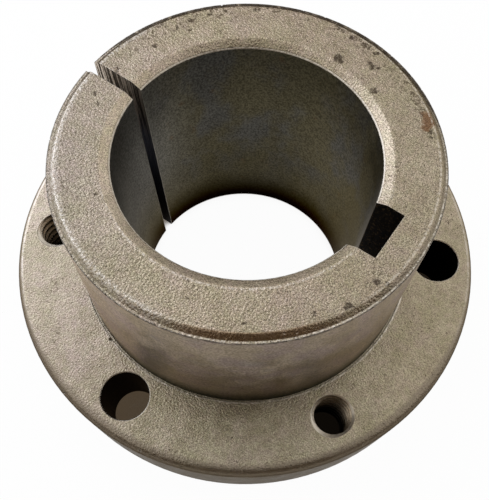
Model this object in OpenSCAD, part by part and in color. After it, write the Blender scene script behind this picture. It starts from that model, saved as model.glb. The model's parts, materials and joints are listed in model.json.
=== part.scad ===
// Quick disconnect bushing: a split sleeve with a tapered barrel and a bolting flange.
// It stands on the flange's back face with the bore along +Z and the keyway towards +X, in millimetres.

/* [Flange] */
// Outside diameter of the flange
flange_d = 68.26; // [66:0.01:80]
// Thickness of the flange
flange_t = 11.1; // [8:0.1:16]
// Radius of the round on the flange's front edge
flange_round = 1.1; // [0.3:0.05:2]
// Radius of the round on the flange's back edge
back_round = 0.7; // [0.2:0.05:2]

/* [Barrel] */
// Overall length of the bushing
length = 33.7; // [26:0.1:44]
// Diameter of the barrel where it meets the flange
barrel_d = 47.8; // [44:0.01:49.5]
// Loss of barrel diameter for each millimetre of length
taper = 0.0625; // [0.03:0.0005:0.09]
// Width of the pressed chamfer around the barrel's end
end_chamfer = 0.85; // [0.7:0.05:2]
// Slope of that chamfer below the end face, in degrees
end_slope = 35; // [20:1:50]
// Radius that blends the end face into that chamfer
end_round = 0.6; // [0.1:0.05:0.8]
// Width of the flat land between that chamfer and the taper
end_land = 0.32; // [0.1:0.05:1]
// Width of the turning relief at the foot of the barrel
relief_w = 0.3; // [0.2:0.05:0.6]
// Depth of the turning relief below the flange's front face
relief_depth = 0.35; // [0.1:0.05:1]

/* [Bore] */
// Diameter of the shaft bore
bore_d = 31.75; // [19:0.01:34]
// Width of the pressed lead-in around the bore at the barrel's end
lead_w = 1.25; // [0.8:0.05:2]
// Slope of that lead-in below the end face, in degrees
lead_slope = 25; // [15:1:40]
// Radius that blends the end face into that lead-in
lead_round = 0.8; // [0.2:0.05:1]
// Machined chamfer at both mouths of the bore
bore_chamfer = 0.15; // [0.1:0.05:1]
// Width of the keyway
key_w = 6.35; // [4:0.01:9]
// Depth of the keyway, taken along its side wall
key_depth = 3.5; // [2:0.05:4.5]

/* [Slit] */
// Width of the saw slit that lets the bushing close on the shaft
slit_w = 1.6; // [1:0.1:3]
// Lean of the slit away from the bore's axis, in degrees
slit_lean = 1; // [0:0.1:2]

/* [Bolt holes] */
// Distance from the flange's rim to the bolt circle
bolt_inset = 5.555; // [4.5:0.005:6.5]
// Number of holes of each kind, clear and tapped in turn around the circle
holes_of_a_kind = 3; // [2:1:4]
// Diameter of the clear holes
clear_d = 6.75; // [5:0.05:7.5]
// Width of the broken edge at both mouths of a clear hole
clear_edge = 0.12; // [0.05:0.01:0.5]
// Drilled diameter of the tapped holes, at the crests of their threads
tap_d = 5.1; // [4:0.05:6]
// Width of the countersink at both mouths of a tapped hole
sink_w = 0.35; // [0.1:0.05:0.8]

/* [Hidden] */
$fn = 128;
// Length by which each cut runs past the faces that it opens
past = 1;
// Number of steps that draw each round
round_steps = 6;
flange_r = flange_d / 2;
bore_r = bore_d / 2;
bolt_circle_r = flange_r - bolt_inset;
hole_pitch = 180 / holes_of_a_kind;
// Width and drop of a round of radius r that starts level and sweeps through angle a
function round_w(r, a) = r * sin(a);
function round_drop(r, a) = r * (1 - cos(a));
// Drop of a chamfer of width w and slope a that starts with a round of radius r
function chamfer_drop(w, a, r) = round_drop(r, a) + (w - round_w(r, a)) * tan(a);
// Radius of the tapered barrel at height z
function barrel_r(z) = (barrel_d - taper * (z - flange_t)) / 2;
// Points of an arc about [x, z], from angle a to angle b
function arc(x, z, r, a, b) =
    [for (i = [0:round_steps]) let (t = a + (b - a) * i / round_steps) [x + r * cos(t), z + r * sin(t)]];
// Distance from the bore's axis to the floor of the keyway
key_floor = sqrt(pow(bore_r, 2) - pow(key_w / 2, 2)) + key_depth;
foot_z = flange_t - relief_depth;
relief_r = barrel_r(flange_t) + relief_w;
end_z = length - chamfer_drop(end_chamfer, end_slope, end_round);
end_r = barrel_r(end_z);
mouth_r = bore_r + bore_chamfer;
mouth_z = length - chamfer_drop(lead_w, lead_slope, lead_round);

// Half section of the flange, from the bore's back mouth round to the foot of the barrel
function flange_section() = concat(
    [[bore_r, bore_chamfer], [mouth_r, 0]],
    arc(flange_r - back_round, back_round, back_round, -90, 0),
    arc(flange_r - flange_round, flange_t - flange_round, flange_round, 0, 90),
    [[relief_r, flange_t], [relief_r, foot_z]]
);

// Half section of the barrel, from its foot up to the end face and into the bore
function barrel_section() = concat(
    [[barrel_r(foot_z), foot_z], [end_r, end_z], [end_r - end_land, end_z]],
    arc(end_r - end_land - end_chamfer, length - end_round, end_round, 90 - end_slope, 90),
    arc(mouth_r + lead_w, length - lead_round, lead_round, 90, 90 + lead_slope),
    [[mouth_r, mouth_z], [bore_r, mouth_z - bore_chamfer]]
);

module blank() {
    rotate_extrude()
        polygon(concat(flange_section(), barrel_section()));
}

module keyway_cut() {
    translate([0, -key_w / 2, -past])
        cube([key_floor, key_w, length + 2 * past]);
}

module slit_cut() {
    rotate([slit_lean, 0, 0])
        translate([-flange_r - past, -slit_w / 2, -past])
            cube([flange_r + past, slit_w, length + 2 * past]);
}

// A hole through the flange, with the same 45 degree countersink at both mouths.
// It stays open above the flange, so that a screw clears the barrel.
module flange_hole(d, edge) {
    translate([0, 0, -past])
        cylinder(d = d, h = length + 2 * past);
    translate([0, 0, flange_t - edge])
        cylinder(d1 = d, d2 = d + 4 * edge, h = 2 * edge);
    translate([0, 0, -edge])
        cylinder(d1 = d + 4 * edge, d2 = d, h = 2 * edge);
}

module bolt_holes() {
    for (i = [0:2 * holes_of_a_kind - 1])
        rotate(hole_pitch * (i + 0.5))
            translate([bolt_circle_r, 0, 0])
                if (i % 2 == 0) flange_hole(clear_d, clear_edge); else flange_hole(tap_d, sink_w);
}

module bushing() {
    color([0.47, 0.44, 0.39])
        difference() {
            blank();
            keyway_cut();
            slit_cut();
            bolt_holes();
        }
}

bushing();
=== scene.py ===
# Quick disconnect bushing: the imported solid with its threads, nicks and finishes, on a white floor.
import json
import math
import random
import bmesh
import bpy
from mathutils import Matrix, Vector


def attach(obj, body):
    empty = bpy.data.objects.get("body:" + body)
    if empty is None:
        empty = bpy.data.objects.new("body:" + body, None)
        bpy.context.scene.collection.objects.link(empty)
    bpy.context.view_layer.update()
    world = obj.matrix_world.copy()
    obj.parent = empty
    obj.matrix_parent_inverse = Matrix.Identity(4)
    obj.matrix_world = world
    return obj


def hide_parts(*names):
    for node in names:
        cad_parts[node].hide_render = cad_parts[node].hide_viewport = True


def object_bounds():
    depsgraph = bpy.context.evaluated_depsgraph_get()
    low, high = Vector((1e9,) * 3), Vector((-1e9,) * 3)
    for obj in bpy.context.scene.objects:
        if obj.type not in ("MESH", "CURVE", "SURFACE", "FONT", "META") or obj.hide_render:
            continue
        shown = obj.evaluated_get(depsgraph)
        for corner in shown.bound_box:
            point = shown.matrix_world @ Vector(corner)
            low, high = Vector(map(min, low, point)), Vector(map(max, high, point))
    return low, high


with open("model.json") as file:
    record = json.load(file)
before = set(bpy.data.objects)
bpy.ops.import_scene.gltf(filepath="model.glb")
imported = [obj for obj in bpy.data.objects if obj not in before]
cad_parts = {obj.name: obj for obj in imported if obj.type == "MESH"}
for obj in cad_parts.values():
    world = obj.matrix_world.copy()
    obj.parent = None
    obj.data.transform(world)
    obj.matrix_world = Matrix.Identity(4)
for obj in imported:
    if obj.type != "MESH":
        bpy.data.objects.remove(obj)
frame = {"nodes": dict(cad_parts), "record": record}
cad_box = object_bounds()

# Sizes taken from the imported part, in millimetres
MM = 0.001
mounts = {mount["name"]: mount for mount in frame["record"]["mounts"]}
bore_r = mounts["shaft_bore"]["dims"]["r_mm"]
bolt_circle_r = mounts["clear_holes"]["dims"]["pcd_mm"] / 2
tap_r = mounts["tapped_holes"]["dims"]["hole_r_mm"]
holes_of_a_kind = mounts["tapped_holes"]["dims"]["count"]
flange_t = mounts["clear_holes"]["pos_m"][2] / MM
flange_r = cad_box[1].x / MM
length = cad_box[1].z / MM

# Sizes that the frame doesn't give, in millimetres and degrees
barrel_foot_r = 23.9
barrel_end_r = 23.2
foot_ring_r = 24.32
key_half_w = 3.175
key_floor = 19.05
slit_half_w = 0.8
thread_r = 3.175
thread_pitch = 1.27
thread_steps = 32
grain_size = 0.17
first_clear_angle = 30
hole_pitch = 180 / holes_of_a_kind
smooth_angle = math.radians(32)

# Directions across the bore in degrees: the camera's left, right and near sides, where specks gather, and
# where the painted highlights and a painted dark edge line lie
LEFT = 216
RIGHT = 36
NEAR = -54
SPECKED = 112
DARK_EDGE = 110
CHAMFER_LIT = 221
LAND_LIT = -14


def polar(radius, degrees, z):
    """A point in metres from cylindrical millimetres about the bore's axis."""
    turn = math.radians(degrees)
    return Vector((radius * math.cos(turn), radius * math.sin(turn), z)) * MM


def hole_centres(first):
    """The centres of the like holes on the bolt circle, at the flange's back."""
    return [polar(bolt_circle_r, first + 2 * hole_pitch * i, 0) for i in range(holes_of_a_kind)]


clear_centres = hole_centres(first_clear_angle)
tap_centres = hole_centres(first_clear_angle + hole_pitch)


# Materials

def rgb(r, g, b):
    """An opaque colour."""
    return (r, g, b, 1.0)


class Finish:
    """One material, with short names for the nodes that it is made of."""

    def __init__(self, name):
        self.material = bpy.data.materials.new(name)
        self.material.use_nodes = True
        self.tree = self.material.node_tree
        self.tree.nodes.clear()
        self.place = self.add("TexCoord").outputs["Object"]
        split = self.add("SeparateXYZ", {"Vector": self.place})
        self.x, self.y, self.z = split.outputs
        self.across = self.add("CombineXYZ", {"X": self.x, "Y": self.y}).outputs[0]
        self.radius = self.add("VectorMath", {0: self.across}, operation="LENGTH").outputs["Value"]
        self.plain_normal = self.add("NewGeometry").outputs["Normal"]
        self.level = self.add("SeparateXYZ", {"Vector": self.plain_normal}).outputs["Z"]

    def add(self, kind, inputs=None, **settings):
        """A node with its settings, and with each input linked or set."""
        made = self.tree.nodes.new("ShaderNode" + kind)
        for key, value in settings.items():
            setattr(made, key, value)
        for key, value in (inputs or {}).items():
            if isinstance(value, bpy.types.NodeSocket):
                self.tree.links.new(value, made.inputs[key])
            else:
                made.inputs[key].default_value = value
        return made

    def math(self, operation, a, b=0.0):
        """One step of arithmetic."""
        return self.add("Math", {0: a, 1: b}, operation=operation).outputs[0]

    def times(self, *values):
        """The product of all the values."""
        product = values[0]
        for value in values[1:]:
            product = self.math("MULTIPLY", product, value)
        return product

    def blend(self, *parts):
        """The sum of values that are each given with their share."""
        total = 0.0
        for value, share in parts:
            total = self.math("ADD", self.times(value, share), total)
        return total

    def mix(self, factor, a, b, blend="MIX"):
        """Colour a, taken towards colour b by the factor."""
        made = self.add("Mix", data_type="RGBA", blend_type=blend)
        for index, value in ((0, factor), (6, a), (7, b)):
            if isinstance(value, bpy.types.NodeSocket):
                self.tree.links.new(value, made.inputs[index])
            else:
                made.inputs[index].default_value = value
        return made.outputs[2]

    def scaled(self, colour, amount):
        """The colour times an amount, or times another colour."""
        return self.mix(1.0, colour, amount, "MULTIPLY")

    def fade(self, value, low, high, to_low=0.0, to_high=1.0):
        """value from low to high, smoothed and taken to the range from to_low to to_high."""
        inputs = {"Value": value, "From Min": low, "From Max": high, "To Min": to_low, "To Max": to_high}
        return self.add("MapRange", inputs, interpolation_type="SMOOTHSTEP").outputs[0]

    def by_radius(self, low, high, to_low=0.0, to_high=1.0):
        """A fade along the distance from the bore's axis, in millimetres."""
        return self.fade(self.radius, low * MM, high * MM, to_low, to_high)

    def by_height(self, low, high, to_low=0.0, to_high=1.0):
        """A fade along the height above the floor, in millimetres."""
        return self.fade(self.z, low * MM, high * MM, to_low, to_high)

    def by_way(self, degrees, low, high, to_low=0.0, to_high=1.0):
        """A fade from the bore's axis towards one direction, in millimetres."""
        way = (math.cos(math.radians(degrees)), math.sin(math.radians(degrees)), 0)
        along = self.add("VectorMath", {0: self.place, 1: way}, operation="DOT_PRODUCT").outputs["Value"]
        return self.fade(along, low * MM, high * MM, to_low, to_high)

    def ring(self, radius, width):
        """1 on a circle about the bore's axis, fading to 0 at width millimetres from it."""
        away = self.math("ABSOLUTE", self.math("SUBTRACT", self.radius, radius * MM))
        return self.fade(away, 0.3 * width * MM, width * MM, 1.0, 0.0)

    def noise(self, size, detail=3.0, rough=0.55, place=None, warp=0.0):
        """Noise with features about size millimetres wide."""
        inputs = {
            "Vector": place or self.place,
            "Scale": 1 / (size * MM),
            "Detail": detail,
            "Roughness": rough,
            "Distortion": warp,
        }
        return self.add("TexNoise", inputs).outputs["Fac"]

    def sand(self, size):
        """Rounded grains about size millimetres wide, packed side by side."""
        inputs = {"Vector": self.place, "Scale": 1 / (size * MM), "Smoothness": 0.25}
        away = self.add("TexVoronoi", inputs, feature="SMOOTH_F1").outputs["Distance"]
        return self.math("SUBTRACT", 1.0, away)

    def stretched(self, x, y, z):
        """The place with each axis scaled, for grain that runs one way."""
        return self.add("VectorMath", {0: self.place, 1: (x, y, z)}, operation="MULTIPLY").outputs[0]

    def ragged(self, size, amount):
        """The place, shifted about by noise, so that marks have ragged outlines."""
        inputs = {"Vector": self.place, "Scale": 1 / (size * MM), "Detail": 4.0, "Roughness": 0.7}
        colour = self.add("TexNoise", inputs).outputs["Color"]
        centred = self.add("VectorMath", {0: colour, 1: (0.5, 0.5, 0.5)}, operation="SUBTRACT").outputs[0]
        shift = self.add("VectorMath", {0: centred, "Scale": amount * MM}, operation="SCALE").outputs[0]
        return self.add("VectorMath", {0: self.place, 1: shift}, operation="ADD").outputs[0]

    def spots(self, places, place):
        """1 inside any of the marks (centre in metres, radius in millimetres), fading to 0 outside."""
        total = 0.0
        for centre, size in places:
            away = self.add("VectorMath", {0: place, 1: centre}, operation="DISTANCE").outputs["Value"]
            inside = self.fade(away, 0.55 * size * MM, 1.1 * size * MM, 1.0, 0.0)
            total = self.math("MAXIMUM", inside, total)
        return total

    def nearest(self, places):
        """Distance in metres, square to the bore's axis, to the nearest of the places."""
        least = 1.0
        for centre in places:
            inputs = {0: self.across, 1: (centre.x, centre.y, 0.0)}
            away = self.add("VectorMath", inputs, operation="DISTANCE").outputs["Value"]
            least = self.math("MINIMUM", away, least)
        return least

    def facing(self, degrees):
        """The share of the surface's normal that points in one direction across the bore."""
        inputs = {0: self.plain_normal, 1: polar(1, degrees, 0) / MM}
        return self.add("VectorMath", inputs, operation="DOT_PRODUCT").outputs["Value"]

    def edges(self, width):
        """1 along sharp outer edges, within about width millimetres."""
        soft = self.add("Bevel", {"Radius": width * MM}, samples=6).outputs[0]
        inputs = {0: soft, 1: self.plain_normal}
        along = self.add("VectorMath", inputs, operation="DOT_PRODUCT").outputs["Value"]
        return self.fade(along, 0.86, 0.985, 1.0, 0.0)

    def worn(self, colour, width, share, bright):
        """The colour, with a share of bright metal along its sharp edges."""
        return self.mix(self.times(self.edges(width), share), colour, bright)

    def bump(self, height, depth, strength=1.0, soften=0.12):
        """Bump of the given depth in millimetres, on edges softened over soften millimetres."""
        soft = self.add("Bevel", {"Radius": soften * MM}, samples=4).outputs[0]
        inputs = {"Strength": strength, "Distance": depth * MM, "Height": height, "Normal": soft}
        return self.add("Bump", inputs).outputs[0]

    def finish(self, metallic, colour, roughness, normal, low_shine=0.4):
        """Close the material; low_shine is the share of its shine that is left at low angles."""
        shader = self.add("BsdfPrincipled", {
            "Base Color": colour,
            "Metallic": metallic,
            "Roughness": roughness,
            "Normal": normal,
            "Specular Tint": rgb(low_shine, 0.93 * low_shine, 0.84 * low_shine),
        })
        out = self.add("OutputMaterial", {"Surface": shader.outputs[0]})
        self.tree.nodes.active = out
        return self.material


# Marks on the pressed faces: distance from the bore's axis, direction in degrees, and radius

def marks_at(z, marks):
    """The marks on the face at height z, as centres in metres with radii in millimetres."""
    return [(polar(radius, degrees, z), size) for radius, degrees, size in marks]


end_marks = [
    (17.8, 85.9, 0.7), (17.6, 83.8, 0.4), (17.6, 64.9, 0.45),
    (19.9, 75.6, 0.45), (19.7, 73.9, 0.4), (20.2, 72.4, 0.35),
    (22.0, 93.5, 0.4), (21.9, 91.3, 0.3), (21.5, 87.5, 0.4),
    (21.7, 82.6, 0.4), (21.7, 80.6, 0.35), (21.6, 77.5, 0.4),
    (21.6, 42.6, 0.3), (21.6, 41.0, 0.3),
    (21.9, -26.0, 0.5), (21.3, -14.9, 0.4), (22.1, -13.0, 0.35),
    (21.2, -35.8, 0.3), (21.1, -55.7, 0.25), (17.9, -126.4, 0.25),
    (19.9, -168.9, 0.25), (19.0, -166.2, 0.22), (20.1, -169.6, 0.25),
    (19.2, 161.4, 0.25), (19.4, 161.1, 0.3), (20.4, 150.3, 0.35),
    (19.6, 146.4, 0.3), (21.1, 144.6, 0.3), (21.4, 137.6, 0.3),
    (21.6, 132.4, 0.25), (21.6, 122.2, 0.3),
]
flange_marks = [(29.1, -58.2, 0.3), (31.3, 42.3, 0.25)]
dark_marks = marks_at(length, end_marks) + marks_at(flange_t, flange_marks)
rust_marks = marks_at(length, [(21.8, 48.8, 0.8), (21.8, 46.4, 1.0), (21.3, 44.4, 0.65)])
stain_marks = marks_at(length, [(22.4, NEAR, 8.5)])

# Colours that several marks share, some of them for painted shade and painted highlights
old_grime = rgb(0.1, 0.075, 0.05)
shaded_iron = rgb(0.14, 0.115, 0.085)
# Bright iron for worn edges and for painted highlights
worn_and_highlight_iron = rgb(0.62, 0.57, 0.5)


# Grime, painted highlights and painted shade of the end face, each laid over the colour that it is given

def far_specks(skin, colour):
    """Clusters of dark specks near the far part of the rim."""
    rim = skin.by_radius(barrel_end_r - 4.0, barrel_end_r - 2.0, 0.0, 0.8)
    rim = skin.times(rim, skin.by_way(SPECKED, 4, 13))
    clusters = skin.fade(skin.noise(2.5, 3.0, 0.6), 0.44, 0.55)
    specks = skin.times(rim, clusters, skin.fade(skin.noise(0.5, 3.0, 0.65), 0.52, 0.58))
    return skin.mix(specks, colour, old_grime)


def chamfer_highlight(skin, colour, streaks):
    """Bright streaks of painted highlight on the chamfer, on the side of the slit."""
    inner = skin.by_radius(barrel_end_r - 1.7, barrel_end_r - 1.0, 0.0, 0.65)
    outer = skin.by_radius(barrel_end_r - 0.9, barrel_end_r - 0.3, 1.0, 0.2)
    # Painted highlight, in streaks, on the lit side of the chamfer
    chamfer_glint = skin.times(inner, outer, streaks, skin.by_way(CHAMFER_LIT, 7, 13))
    return skin.mix(chamfer_glint, colour, worn_and_highlight_iron)


def key_side_highlight_and_shade(skin, colour, streaks):
    """A painted highlight along the top of the chamfer and painted shade below it, on the side of the
    keyway.
    """
    key_side = skin.by_way(RIGHT, 8, 16)
    # Painted highlight along the top of the chamfer
    line = skin.times(skin.ring(barrel_end_r - 1.0, 0.2), key_side, streaks, 0.7)
    colour = skin.mix(line, colour, rgb(0.7, 0.63, 0.53))
    # Painted shade below it
    shade = skin.by_radius(barrel_end_r - 0.8, barrel_end_r - 0.5, 0.0, 0.5)
    return skin.mix(skin.times(shade, key_side), colour, shaded_iron)


def brown_chamfer(skin, colour):
    """A brown stain on the near part of the chamfer."""
    inner = skin.by_radius(barrel_end_r - 1.25, barrel_end_r - 1.0)
    outer = skin.by_radius(barrel_end_r - 0.4, barrel_end_r - 0.3, 1.0, 0.0)
    stain = skin.times(skin.spots(stain_marks, skin.place), inner, outer, 0.7)
    return skin.mix(stain, colour, rgb(0.26, 0.165, 0.09))


def land_highlight(skin, colour, streaks, broken):
    """A broken painted highlight along the land outside the chamfer."""
    line = skin.ring(barrel_end_r - 0.2, 0.13)
    # Painted highlight, broken by noise, on the lit side of the land
    worn = skin.times(line, skin.by_way(LAND_LIT, 9, 18), streaks, broken, 0.75)
    return skin.mix(worn, colour, rgb(0.8, 0.74, 0.64))


def bore_mouth(skin, colour, streaks, broken):
    """Painted shade on the lead-in and a painted highlight on its lip, on the near side, and a dark line
    around the bore.
    """
    near = skin.by_way(NEAR, 2, 10)
    # Painted shade on the near lead-in
    lead = skin.by_radius(bore_r + 0.9, bore_r + 1.15, 0.35, 0.0)
    colour = skin.mix(skin.times(lead, near), colour, shaded_iron)
    # Painted highlight on the lip
    lip = skin.times(skin.ring(bore_r + 1.35, 0.22), near, streaks, 0.5)
    colour = skin.mix(lip, colour, rgb(0.64, 0.58, 0.5))
    mouth = skin.by_radius(bore_r + 0.2, bore_r + 0.3, 0.5, 0.0)
    return skin.mix(skin.times(mouth, broken), colour, rgb(0.09, 0.072, 0.05))


def outer_painted_dark_line(skin, colour, broken):
    """A broken painted dark line around the end, standing in for the dark reflection of its outer edge,
    wider on the far side.
    """
    # Painted dark reflection along the outer edge
    start = skin.by_way(DARK_EDGE, 8, 15, (barrel_end_r - 0.12) * MM, (barrel_end_r - 0.4) * MM)
    outside = skin.fade(skin.math("SUBTRACT", skin.radius, start), -0.02 * MM, 0.06 * MM)
    return skin.mix(skin.times(outside, broken), colour, rgb(0.045, 0.036, 0.028))


def end_grime_and_painted_light(skin, colour):
    """All the grime of the end face, with its painted highlights and painted shade."""
    streaks = skin.fade(skin.noise(0.35, 4.0, 0.75), 0.42, 0.58)
    broken = skin.fade(skin.noise(1.1, 3.0, 0.6), 0.34, 0.5, 0.35, 0.95)
    colour = far_specks(skin, colour)
    colour = chamfer_highlight(skin, colour, streaks)
    colour = key_side_highlight_and_shade(skin, colour, streaks)
    colour = brown_chamfer(skin, colour)
    colour = land_highlight(skin, colour, streaks, broken)
    colour = bore_mouth(skin, colour, streaks, broken)
    return outer_painted_dark_line(skin, colour, broken)


def flange_painted_light(skin, colour):
    """Painted shade on the flange's rim, deepest near the floor, and painted highlights along its edges."""
    # Painted shade, darker towards the floor
    colour = skin.scaled(colour, skin.by_height(0.5, 8.0, 0.35, 1.0))
    # Painted shade on the outer round, wider on the near side
    near = skin.by_way(NEAR, 5, 25)
    start = skin.math("ADD", skin.times(near, -1.0 * MM), (flange_r - 0.8) * MM)
    rim = skin.fade(skin.math("SUBTRACT", skin.radius, start), 0.0, 0.7 * MM, 0.0, 0.75)
    colour = skin.mix(rim, colour, rgb(0.21, 0.17, 0.127))
    # Painted shade on the side of the rim
    side = skin.by_radius(flange_r - 0.3, flange_r - 0.05, 0.0, 0.75)
    side = skin.times(side, skin.fade(skin.noise(1.0, 4.0, 0.65), 0.3, 0.7, 0.75, 1.1))
    colour = skin.mix(side, colour, rgb(0.085, 0.066, 0.048))
    broken = skin.fade(skin.noise(0.9, 3.0, 0.6), 0.36, 0.56, 0.2, 1.0)
    # Painted highlight round the foot of the barrel, strongest on the keyway's side
    key_side = skin.by_way(0, -12, 12, 0.15, 0.75)
    foot = skin.times(skin.ring(foot_ring_r, 0.2), broken, key_side)
    colour = skin.mix(foot, colour, rgb(0.72, 0.65, 0.55))
    # Painted highlight along the outer round, away from the near side
    far = skin.by_way(NEAR, 0, 20, 0.45, 0.0)
    line = skin.times(skin.ring(flange_r - 0.75, 0.25), broken, far)
    return skin.mix(line, colour, rgb(0.66, 0.6, 0.52))


# Painted light and shade of a pressed face, as tones: in the middle, on the camera's left and on its right
end_side_shading = [rgb(0.93, 0.918, 0.92), rgb(0.715, 0.727, 0.75), rgb(0.87, 0.886, 0.85)]
flange_side_shading = [rgb(0.958, 0.988, 0.982), rgb(0.825, 0.812, 0.85), rgb(0.84, 0.83, 0.813)]


def pressed_colour(skin, mottle, low, high, side_shading):
    """Mottled iron with olive and rosy patches, under painted light and shade that differ by side, with a
    painted highlight on the left lead-in.
    """
    colour = skin.mix(skin.fade(mottle, 0.3, 0.7), low, high)
    olive = skin.fade(skin.noise(8.0, 4.0, 0.6), 0.46, 0.64, 0.0, 0.45)
    colour = skin.mix(olive, colour, rgb(0.335, 0.295, 0.185))
    rosy = skin.fade(skin.noise(6.0, 4.0, 0.6, skin.stretched(1.0, 1.0, 1.3)), 0.5, 0.66, 0.0, 0.35)
    colour = skin.mix(rosy, colour, rgb(0.4, 0.322, 0.265))
    middle, left, right = side_shading
    # Painted highlight on the lead-in, on the camera's left
    lead = skin.by_radius(bore_r + 1.0, bore_r + 1.5, 1.0, 0.0)
    left = skin.mix(lead, left, rgb(1.34, 1.36, 1.4))
    # Painted light and shade by side
    shading_by_side = skin.mix(skin.by_way(LEFT, 5, 25), middle, left)
    shading_by_side = skin.mix(skin.by_way(RIGHT, 5, 25), shading_by_side, right)
    return skin.scaled(colour, shading_by_side)


def pressed_skin(name, low, high, side_shading, grain_depth, contrast, near_grain, dull_round, grime_and_light):
    """Sandy pressed and sintered iron, with pores, dark marks, a spot of rust, and its own grime with
    painted highlights and painted shade.
    near_grain is the share of the grain on near slopes, and dull_round the roughness added to rounds."""
    skin = Finish(name)
    grain = skin.noise(1.3 * grain_size, 3.0, 0.6)
    speck = skin.noise(0.8 * grain_size, 2.0, 0.6, skin.stretched(1.0, 1.0, -1.0))
    lumps = skin.noise(5 * grain_size, 2.0, 0.5)
    mottle = skin.noise(2.5, 4.0, 0.65)
    colour = pressed_colour(skin, mottle, low, high, side_shading)
    colour = skin.scaled(colour, skin.fade(speck, 0.35, 0.65, 1 - contrast, 1 + contrast))
    tint = skin.fade(skin.noise(0.9, 3.0, 0.7), 0.36, 0.64)
    colour = skin.scaled(colour, skin.mix(tint, rgb(0.98, 1.0, 0.965), rgb(1.02, 0.993, 1.025)))
    dirt = skin.fade(skin.noise(6.0, 3.0, 0.6), 0.5, 0.72, 0.0, 0.07)
    pores = skin.fade(skin.math("ADD", skin.noise(0.4, 3.0, 0.6), dirt), 0.66, 0.72)
    colour = skin.mix(skin.times(pores, 0.65), colour, old_grime)
    ragged = skin.ragged(0.6, 1.5)
    patchy = skin.fade(skin.noise(0.4, 3.0, 0.7), 0.36, 0.5, 0.35, 1.0)
    marks = skin.times(skin.spots(dark_marks, ragged), patchy)
    colour = skin.mix(skin.times(marks, 0.9), colour, rgb(0.055, 0.04, 0.028))
    rust = skin.spots(rust_marks, ragged)
    colour = skin.mix(skin.times(rust, 0.75), colour, rgb(0.21, 0.1, 0.045))
    # Grime, painted highlights and painted shade
    colour = grime_and_light(skin, colour)
    worn = skin.times(skin.edges(0.25), skin.fade(grain, 0.3, 0.62), 0.5)
    colour = skin.mix(worn, colour, worn_and_highlight_iron)
    sand = skin.blend((grain, 0.5), (lumps, 0.15), (skin.sand(1.7 * grain_size), 0.35))
    pits = skin.math("MAXIMUM", pores, marks)
    height = skin.math("SUBTRACT", sand, skin.times(pits, 0.3))
    outer = skin.by_way(NEAR, 4, 18, 0.3, near_grain)
    slope = skin.by_radius(bore_r + 2, bore_r + 4, 0.4, outer)
    flat = skin.fade(skin.level, 0.94, 0.995, slope, 1.0)
    dull = skin.fade(skin.level, 0.6, 0.98, dull_round, 0.0)
    dull = skin.times(dull, skin.fade(skin.level, 0.1, 0.4))
    plain = skin.fade(mottle, 0.3, 0.7, 0.2, 0.27)
    roughness = skin.blend((plain, 1.0), (flat, 0.1), (rust, 0.3), (dull, 1.0))
    return skin.finish(0.97, colour, roughness, skin.bump(height, grain_depth, flat))


def turned_taper():
    """Turned seat of the barrel: faint lathe lines under a patchy oxide, lighter on the camera's left with
    painted light, and dark at its foot with painted shade.
    """
    taper = Finish("turned_taper")
    lines = taper.noise(0.16, 2.0, 0.6, taper.stretched(0.03, 0.03, 1.0))
    patch = taper.noise(4.0, 4.0, 0.6)
    grain = taper.noise(0.26, 3.0, 0.65)
    colour = taper.mix(taper.fade(patch, 0.34, 0.64), rgb(0.37, 0.31, 0.23), rgb(0.46, 0.39, 0.305))
    plum = taper.fade(taper.noise(3.5, 4.0, 0.65), 0.42, 0.66, 0.0, 0.7)
    colour = taper.mix(plum, colour, rgb(0.375, 0.3, 0.29))
    blue = taper.fade(taper.noise(5.5, 3.0, 0.6, taper.stretched(1.0, 1.0, 2.0)), 0.54, 0.7, 0.0, 0.6)
    colour = taper.mix(blue, colour, rgb(0.37, 0.335, 0.31))
    # Painted light on the camera's left
    colour = taper.scaled(colour, taper.by_way(LEFT, 6, 20, 1.0, 1.35))
    # Painted shade at the foot, where the barrel meets the flange
    colour = taper.mix(taper.by_height(flange_t, flange_t + 5.0), rgb(0.05, 0.054, 0.035), colour)
    colour = taper.scaled(colour, taper.fade(lines, 0.3, 0.7, 0.9, 1.08))
    colour = taper.scaled(colour, taper.fade(grain, 0.34, 0.66, 0.72, 1.26))
    top = taper.by_height(length - 0.8, length - 0.6, 0.0, 0.75)
    top = taper.times(top, taper.fade(taper.noise(1.1, 3.0, 0.6), 0.36, 0.52, 0.3, 1.0))
    colour = taper.mix(top, colour, rgb(0.06, 0.045, 0.035))
    height = taper.blend((lines, 0.5), (grain, 0.8))
    roughness = taper.fade(patch, 0.35, 0.65, 0.38, 0.48)
    return taper.finish(0.95, colour, roughness, taper.bump(height, 0.03), 0.85)


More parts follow.
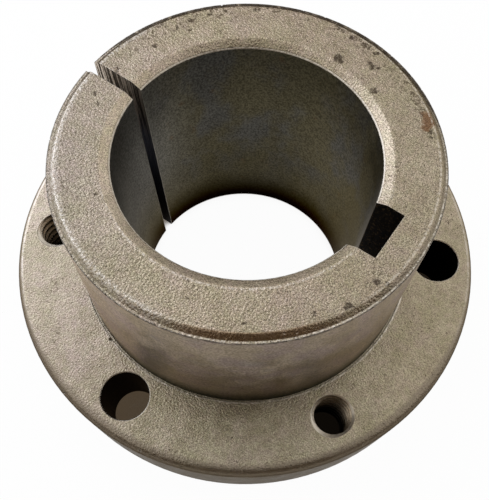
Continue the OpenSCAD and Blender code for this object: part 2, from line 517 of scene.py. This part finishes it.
def bore_oxide_and_light(bore, patch):
    """Dark olive oxide with faint blue and brown patches, bluer and lighter with painted light on the
    camera's left, lighter with painted light on its right, and darkened towards the foot of the bore with
    painted shade.
    """
    colour = bore.mix(bore.fade(patch, 0.35, 0.65), rgb(0.086, 0.076, 0.047), rgb(0.106, 0.094, 0.062))
    blue = bore.fade(bore.noise(6.0, 4.0, 0.6, bore.stretched(1.0, 1.0, 0.8)), 0.42, 0.66, 0.0, 0.6)
    # Painted cool light on the camera's left
    blue = bore.math("MAXIMUM", blue, bore.by_way(LEFT, 4, 15, 0.0, 0.7))
    blue = bore.times(blue, bore.by_height(2, 18, 0.1, 1.0))
    colour = bore.mix(blue, colour, rgb(0.09, 0.092, 0.095))
    # Painted light on the camera's left and right
    colour = bore.scaled(colour, bore.by_way(LEFT, 4, 16, 1.0, 1.9))
    colour = bore.scaled(colour, bore.by_way(RIGHT, 5, 15, 1.0, 1.6))
    brown = bore.fade(bore.noise(2.2, 4.0, 0.7), 0.6, 0.76, 0.0, 0.5)
    colour = bore.mix(brown, colour, rgb(0.11, 0.066, 0.035))
    # Painted shade, deepening towards the foot of the bore
    deep_shade = bore.times(bore.by_height(1.0, 24.0, 0.45, 1.0), bore.by_height(0.5, 8.5, 0.03, 1.0))
    return bore.scaled(colour, deep_shade)


def bored_wall():
    """Bored wall under its oxide, with a painted highlight beside the keyway."""
    bore = Finish("bored_wall")
    lines = bore.noise(0.18, 2.0, 0.6, bore.stretched(0.03, 0.03, 1.0))
    grain = bore.noise(0.28, 3.0, 0.65)
    patch = bore.noise(7.0, 3.0, 0.6, None, 0.5)
    colour = bore_oxide_and_light(bore, patch)
    colour = bore.scaled(colour, bore.fade(grain, 0.34, 0.66, 0.6, 1.45))
    # Bright edges: wear, made strong to paint a highlight along the keyway's edges
    colour = bore.worn(colour, 0.22, 0.8, rgb(0.42, 0.38, 0.32))
    # Painted highlight on the wall beside the keyway
    aside = bore.math("ABSOLUTE", bore.y)
    pale = bore.fade(aside, (key_half_w + 1.5) * MM, (key_half_w + 5) * MM, 0.65, 0.0)
    pale = bore.times(pale, bore.by_way(0, 0, 10), bore.by_height(8, 18))
    colour = bore.mix(pale, colour, rgb(0.3, 0.28, 0.25))
    height = bore.blend((lines, 0.7), (grain, 0.5))
    roughness = bore.times(bore.fade(patch, 0.35, 0.65, 0.44, 0.54), bore.by_height(0, 12, 0.6, 1.0))
    return bore.finish(1.0, colour, roughness, bore.bump(height, 0.015), 0.5)


def bright_chamfer():
    """Machined chamfers at the mouths of the bore."""
    edge = Finish("bright_chamfer")
    grain = edge.noise(0.3, 2.0, 0.6)
    colour = edge.mix(edge.fade(grain, 0.3, 0.66), rgb(0.36, 0.31, 0.24), rgb(0.58, 0.52, 0.43))
    return edge.finish(0.9, colour, edge.fade(grain, 0.3, 0.7, 0.34, 0.46), edge.bump(grain, 0.03))


def sawn_face():
    """Sides of the slit, with the lines that the saw left along the bore, cold low down and darkened there
    with painted shade.
    """
    saw = Finish("sawn_face")
    lines = saw.noise(0.2, 2.0, 0.6, saw.stretched(1.0, 1.0, 0.02))
    grain = saw.noise(0.3, 2.0, 0.6)
    colour = saw.mix(saw.fade(lines, 0.43, 0.56), rgb(0.09, 0.075, 0.06), rgb(0.9, 0.8, 0.69))
    colour = saw.scaled(colour, saw.by_radius(bore_r + 0.5, bore_r + 5, 0.5, 1.0))
    colour = saw.scaled(colour, saw.fade(grain, 0.3, 0.7, 0.8, 1.15))
    colour = saw.worn(colour, 0.15, 0.5, rgb(0.5, 0.45, 0.38))
    colour = saw.mix(saw.by_height(20, 29, 0.8, 0.0), colour, rgb(0.33, 0.35, 0.42))
    # Painted shade, deepening down the slit
    colour = saw.scaled(colour, saw.by_height(7, 29, 0.08, 1.0))
    return saw.finish(0.8, colour, saw.fade(lines, 0.35, 0.65, 0.58, 0.45), saw.bump(lines, 0.08))


def broached_wall():
    """Walls of the keyway: dark, speckled brown, with lines along the broach's stroke."""
    key = Finish("broached_wall")
    lines = key.noise(0.25, 2.0, 0.5, key.stretched(1.0, 1.0, 0.04))
    speck = key.noise(0.4, 3.0, 0.65)
    colour = key.mix(key.fade(speck, 0.5, 0.68), rgb(0.01, 0.008, 0.006), rgb(0.11, 0.075, 0.045))
    colour = key.worn(colour, 0.2, 0.6, rgb(0.4, 0.34, 0.27))
    return key.finish(0.8, colour, key.fade(speck, 0.3, 0.7, 0.42, 0.6), key.bump(lines, 0.02))


def drilled_wall():
    """Walls of the screw holes: rings left by the drill, painted light on the walls that face the camera's
    left and round the mouths, and painted shade deep down, in the clear holes and in the thread grooves.
    """
    wall = Finish("drilled_wall")
    rings = wall.noise(0.2, 2.0, 0.6, wall.stretched(0.05, 0.05, 1.0))
    grain = wall.noise(0.3, 2.0, 0.6)
    colour = wall.mix(wall.fade(grain, 0.35, 0.65), rgb(0.2, 0.155, 0.105), rgb(0.35, 0.29, 0.21))
    colour = wall.scaled(colour, wall.fade(rings, 0.3, 0.7, 0.8, 1.15))
    colour = wall.worn(colour, 0.15, 0.75, rgb(0.66, 0.58, 0.48))
    # Painted light on the walls that face the camera's left
    colour = wall.scaled(colour, wall.fade(wall.facing(LEFT), 0.2, 0.85, 0.75, 3.2))
    # Painted light round the mouths
    mouth = wall.by_height(flange_t - 0.8, flange_t - 0.4, 0.0, 0.7)
    mouth = wall.times(mouth, wall.fade(grain, 0.35, 0.6, 0.5, 1.0))
    colour = wall.mix(mouth, colour, rgb(0.66, 0.59, 0.49))
    # Painted shade inside the clear holes
    shaded_clear_holes = [(centre + polar(0, 0, flange_t), 10) for centre in clear_centres]
    colour = wall.mix(wall.spots(shaded_clear_holes, wall.place), colour, rgb(0.012, 0.01, 0.008))
    # Painted shade, deepening down the holes
    colour = wall.scaled(colour, wall.by_height(2.5, 9.0, 0.06, 1.0))
    # Painted shade in the thread grooves
    groove_shade = wall.fade(wall.nearest(tap_centres), (tap_r + 0.12) * MM, (thread_r - 0.15) * MM, 0.0, 0.85)
    top = wall.by_height(flange_t - 0.5, flange_t - 0.4)
    below = wall.math("SUBTRACT", 1.0, top)
    colour = wall.mix(wall.times(groove_shade, below), colour, rgb(0.02, 0.015, 0.01))
    rim = wall.times(top, wall.fade(wall.level, 0.6, 0.69, 0.0, 0.8))
    colour = wall.mix(rim, colour, rgb(0.74, 0.67, 0.56))
    return wall.finish(0.85, colour, wall.fade(grain, 0.35, 0.65, 0.32, 0.44), wall.bump(rings, 0.015))


finishes = [
    pressed_skin(
        "end_skin",
        low=rgb(0.345, 0.283, 0.202),
        high=rgb(0.43, 0.36, 0.268),
        side_shading=end_side_shading,
        grain_depth=0.19,
        contrast=0.45,
        near_grain=0.6,
        dull_round=0.0,
        grime_and_light=end_grime_and_painted_light,
    ),
    pressed_skin(
        "flange_skin",
        low=rgb(0.34, 0.287, 0.198),
        high=rgb(0.47, 0.402, 0.293),
        side_shading=flange_side_shading,
        grain_depth=0.08,
        contrast=0.3,
        near_grain=1.0,
        dull_round=0.25,
        grime_and_light=flange_painted_light,
    ),
    turned_taper(),
    bored_wall(),
    bright_chamfer(),
    sawn_face(),
    broached_wall(),
    drilled_wall(),
]
END, FLANGE, TAPER, BORE, CHAMFER, SAWN, KEYWAY, DRILLED = range(len(finishes))


def finish_at(centre, normal):
    """The finish of a face of the solid, from its place in millimetres and its normal."""
    x, y, z = centre
    radius = math.hypot(x, y)
    outward = (normal.x * x + normal.y * y) / radius
    upright = abs(normal.z) < 0.3
    in_slit = x < 0 and abs(y) < 2 * slit_half_w and abs(normal.y) > 0.9
    in_key = x > 0 and radius > bore_r + 0.01 and abs(y) <= key_half_w + 0.01 and x <= key_floor + 0.01
    if in_slit:
        return SAWN
    if in_key and upright and (abs(normal.y) > 0.9 or normal.x < -0.9):
        return KEYWAY
    for hole in clear_centres + tap_centres:
        if math.hypot(x - hole.x / MM, y - hole.y / MM) < thread_r + 0.7 and abs(normal.z) < 0.95:
            return DRILLED
    if upright and outward < -0.9 and radius < bore_r + 0.2:
        return BORE
    if upright and outward > 0.9 and z > flange_t - 1 and radius < barrel_foot_r + 0.3:
        return TAPER
    if radius < bore_r + 0.5 and not upright and outward < -0.5 and abs(normal.z) < 0.8:
        return CHAMFER
    if z < flange_t + 1:
        return FLANGE
    return END


# Cutters for what is finer than the solid

def linked(name, data):
    """A new object in the scene that holds the data."""
    made = bpy.data.objects.new(name, data)
    bpy.context.scene.collection.objects.link(made)
    return made


def new_object(name, points, faces):
    """A new mesh object from its points and faces."""
    mesh = bpy.data.meshes.new(name)
    mesh.from_pydata(points, [], faces)
    return linked(name, mesh)


def thread_cutter():
    """Helical grooves that cut the threads of the tapped holes, as one object."""
    points = []
    faces = []
    inner_r = tap_r - 0.15
    inner_half_w = 0.45 * thread_pitch
    outer_half_w = 0.06 * thread_pitch
    section = [
        (inner_r, -inner_half_w),
        (thread_r, -outer_half_w),
        (thread_r, outer_half_w),
        (inner_r, inner_half_w),
    ]
    corners = len(section)
    turns = flange_t / thread_pitch + 2
    rings = round(turns * thread_steps)
    for centre in tap_centres:
        start = len(points)
        for ring in range(rings + 1):
            turn = 2 * math.pi * ring / thread_steps
            rise = thread_pitch * (ring / thread_steps - 1)
            for radius, up in section:
                spot = Vector((radius * math.cos(turn), radius * math.sin(turn), rise + up))
                points.append(centre + spot * MM)
        for ring in range(rings):
            low = start + ring * corners
            for k in range(corners):
                after = (k + 1) % corners
                faces.append((low + k, low + corners + k, low + corners + after, low + after))
        last = start + rings * corners
        faces.append(tuple(start + k for k in range(corners)))
        faces.append(tuple(last + k for k in reversed(range(corners))))
    return new_object("thread_cutter", points, faces)


def nick_places():
    """Small dents along the edges: centre, and size in millimetres."""
    draw = random.Random(11)
    places = [
        (polar(19.8, 178.2, length + 0.25), 0.5),
        (polar(24.3, -106.3, flange_t + 0.05), 0.35),
        (polar(barrel_end_r, 133, length - 0.5), 0.15),
    ]
    for i in range(16):
        degrees = 20 + 9.5 * i + draw.uniform(-3.5, 3.5)
        places.append((polar(barrel_end_r + 0.05, degrees, length - 0.45), draw.uniform(0.08, 0.13)))
    for i in range(9):
        degrees = -150 + 17 * i + draw.uniform(-6, 6)
        places.append((polar(barrel_end_r + 0.05, degrees, length - 0.5), draw.uniform(0.1, 0.2)))
    for i in range(16):
        degrees = -50 + 5 * i + draw.uniform(-2, 2)
        radius = barrel_end_r - draw.uniform(0.1, 0.8)
        places.append((polar(radius, degrees, length - 0.1), draw.uniform(0.1, 0.26)))
    for i in range(10):
        degrees = 36 * i + draw.uniform(-12, 12)
        places.append((polar(flange_r - 0.3, degrees, flange_t - 0.3), draw.uniform(0.1, 0.2)))
    return places


def nick_cutter():
    """Lumps that take the small dents out of the edges, as one object."""
    draw = random.Random(5)
    shape = bmesh.new()
    for centre, size in nick_places():
        made = bmesh.ops.create_icosphere(shape, subdivisions=2, radius=size * MM)
        for vert in made["verts"]:
            vert.co *= draw.uniform(0.75, 1.2)
            vert.co += centre
    mesh = bpy.data.meshes.new("nick_cutter")
    shape.to_mesh(mesh)
    shape.free()
    return linked("nick_cutter", mesh)


def packed_solid():
    """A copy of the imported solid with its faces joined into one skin."""
    shape = bmesh.new()
    shape.from_mesh(frame["nodes"]["bushing"].data)
    bmesh.ops.remove_doubles(shape, verts=shape.verts, dist=0.001 * MM)
    mesh = bpy.data.meshes.new("bushing_solid")
    shape.to_mesh(mesh)
    shape.free()
    mesh.attributes.remove(mesh.attributes["custom_normal"])
    return linked("bushing_solid", mesh)


def cut_mesh(solid, cutters):
    """The solid's mesh with the cutters taken out of it; the solid and the cutters are deleted."""
    for cutter in cutters:
        cut = solid.modifiers.new(cutter.name, "BOOLEAN")
        cut.operation = "DIFFERENCE"
        cut.solver = "EXACT"
        cut.object = cutter
    bpy.context.view_layer.update()
    finished = bpy.data.meshes.new_from_object(solid.evaluated_get(bpy.context.evaluated_depsgraph_get()))
    for used in [solid] + cutters:
        bpy.data.objects.remove(used)
    return finished


def finished_bushing():
    """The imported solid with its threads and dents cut, and a finish on every face."""
    finished = cut_mesh(packed_solid(), [thread_cutter(), nick_cutter()])
    finished.name = "bushing_body"
    finished.materials.clear()
    for material in finishes:
        finished.materials.append(material)
    for face in finished.polygons:
        face.material_index = finish_at(face.center / MM, face.normal)
        face.use_smooth = True
    finished.set_sharp_from_angle(angle=smooth_angle)
    piece = linked("bushing_body", finished)
    even = piece.modifiers.new("even_normals", "WEIGHTED_NORMAL")
    even.keep_sharp = True
    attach(piece, "root")
    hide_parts("bushing")


finished_bushing()


# Floor, light and camera

def white_floor():
    """A white floor with a painted soft shadow close to the part, and painted shade under some of the holes.
    """
    floor = Finish("white_floor")
    half = 3.0
    dark = rgb(0.004, 0.003, 0.002)
    path = floor.add("LightPath").outputs
    seen = floor.math("MAXIMUM", path["Is Camera Ray"], path["Is Glossy Ray"])
    seen = floor.math("MAXIMUM", seen, path["Is Transmission Ray"])
    # Painted shadow: the floor darkens where ambient occlusion finds the part close by
    near = floor.add("AmbientOcclusion", {"Distance": flange_t * MM}, samples=24).outputs["AO"]
    shade = floor.mix(floor.fade(near, 0.0, 0.14), dark, rgb(0.1, 0.072, 0.045))
    shade = floor.mix(floor.fade(near, 0.14, 0.45), shade, rgb(1.0, 1.0, 1.0))
    # Painted shade under the tapped holes and one clear hole
    shaded_floor_spots = [(centre, thread_r + 1.5) for centre in tap_centres + clear_centres[:1]]
    hole_shade = floor.spots(shaded_floor_spots, floor.place)
    shade = floor.mix(hole_shade, shade, dark)
    white = floor.add("Emission", {"Color": shade, "Strength": 1.0}).outputs[0]
    # The same painted shade in the floor's diffuse colour
    pale = floor.mix(hole_shade, rgb(0.9, 0.9, 0.9), rgb(0.02, 0.015, 0.01))
    plain = floor.add("BsdfDiffuse", {"Color": pale}).outputs[0]
    both = floor.add("MixShader", {0: floor.times(seen, 0.97), 1: plain, 2: white}).outputs[0]
    floor.add("OutputMaterial", {"Surface": both})
    corners = [(-half, -half, 0), (half, -half, 0), (half, half, 0), (-half, half, 0)]
    piece = new_object("floor", corners, [(0, 1, 2, 3)])
    piece.data.materials.append(floor.material)


def surrounding_light():
    """A plain white room around the part."""
    world = bpy.data.worlds.new("room")
    bpy.context.scene.world = world
    world.use_nodes = True
    tree = world.node_tree
    tree.nodes.clear()
    white = tree.nodes.new("ShaderNodeBackground")
    white.inputs["Color"].default_value = rgb(1.0, 1.0, 1.0)
    white.inputs["Strength"].default_value = 1.0
    out = tree.nodes.new("ShaderNodeOutputWorld")
    tree.links.new(white.outputs[0], out.inputs["Surface"])


# The camera's angles and place, its sensor and lens in millimetres, and its shift in shares of the picture
camera_turn = math.radians(36.119)
camera_tilt = math.radians(20.146)
camera_roll = math.radians(-0.733)
camera_place = Vector((23.60, -35.16, 91.22)) * MM
camera_sensor = 36
camera_lens = 42.883
camera_shift = (0.020, 0.150)


def soft_box(name, across, away, up, width, height, level, colour):
    """A lamp aimed at the part, whose face looks level times as bright as a white card.
    Its place is in millimetres to the camera's right, away from the camera and up."""
    lamp = bpy.data.lights.new(name, "AREA")
    lamp.shape = "RECTANGLE"
    lamp.size = width * MM
    lamp.size_y = height * MM
    lamp.energy = level * math.pi * lamp.size * lamp.size_y
    lamp.color = colour
    made = linked(name, lamp)
    spot = Matrix.Rotation(camera_turn, 3, "Z") @ Vector((across, away, up))
    made.location = spot * MM
    aim = Vector((0, 0, length / 2)) * MM - made.location
    made.rotation_euler = aim.to_track_quat("-Z", "Y").to_euler()


# Height in degrees of the dark side of the room, at bearings that start at the camera's right
dark_heights = {0: 0, 45: 0, 90: 14, 135: 0, 180: 0, 225: 42, 270: 78, 315: 52, 360: 0}


def dark_height(bearing):
    """The height in degrees of the dark side of the room at a bearing in degrees."""
    low = 45 * int(bearing // 45)
    share = (bearing - low) / 45
    after = dark_heights[min(low + 45, 360)]
    return dark_heights[low] + share * (after - dark_heights[low])


def dark_card(name, points, faces):
    """A dark card that stands out of the camera's sight and shows only in the part's shine."""
    card = Finish(name)
    dull = card.add("BsdfDiffuse", {"Color": rgb(0.19, 0.145, 0.1)}).outputs[0]
    card.add("OutputMaterial", {"Surface": dull})
    piece = new_object(name, [point * MM for point in points], faces)
    piece.data.materials.append(card.material)
    piece.visible_camera = False
    return piece


def dark_side():
    """A dark screen around the camera's side, and a dark mat between it and the part."""
    near = 58
    away = 240
    mat_up = flange_t + 1
    steps = 72
    bearings = [360 * i / steps for i in range(steps)]
    foot = []
    top = []
    inner = []
    outer = []
    for bearing in bearings:
        turn = camera_turn + math.radians(bearing)
        out = Vector((math.cos(turn), math.sin(turn), 0))
        rise = away * math.tan(math.radians(dark_height(bearing)))
        foot.append(away * out)
        top.append(away * out + Vector((0, 0, rise)))
        inner.append(near * out + Vector((0, 0, mat_up)))
        outer.append(away * out + Vector((0, 0, mat_up)))
    faces = []
    for i in range(steps):
        after = (i + 1) % steps
        if dark_height(bearings[i]) + dark_height(bearings[after]) > 0:
            faces.append((i, after, steps + after, steps + i))
    dark_card("dark_screen", foot + top, faces)
    mat = dark_card("dark_mat", inner + outer, faces)
    mat.visible_diffuse = False
    mat.visible_shadow = False


def dark_ceiling():
    """A dark card above the camera's side."""
    up = 300
    # Corners to the camera's right and away from the camera
    outline = [(-80, -300), (110, -300), (110, -15), (-80, -15)]
    turn = Matrix.Rotation(camera_turn, 3, "Z")
    points = [turn @ Vector((across, away, up)) for across, away in outline]
    dark_card("dark_ceiling", points, [tuple(range(len(points)))])


def photo_camera():
    """The camera at the photograph's view of the part."""
    data = bpy.data.cameras.new("camera")
    data.sensor_width = camera_sensor
    data.lens = camera_lens
    data.shift_x, data.shift_y = camera_shift
    data.clip_start = 5 * MM
    camera = linked("camera", data)
    turn = Matrix.Rotation(camera_turn, 4, "Z")
    tilt = Matrix.Rotation(camera_tilt, 4, "X")
    roll = Matrix.Rotation(camera_roll, 4, "Z")
    camera.matrix_world = Matrix.Translation(camera_place) @ turn @ tilt @ roll
    bpy.context.scene.camera = camera


white_floor()
surrounding_light()
dark_side()
dark_ceiling()
soft_box("window", across=-277, away=268, up=249, width=320, height=480, level=2.1, colour=(0.74, 0.81, 1.0))
photo_camera()
bpy.context.scene.view_settings.view_transform = "Standard"
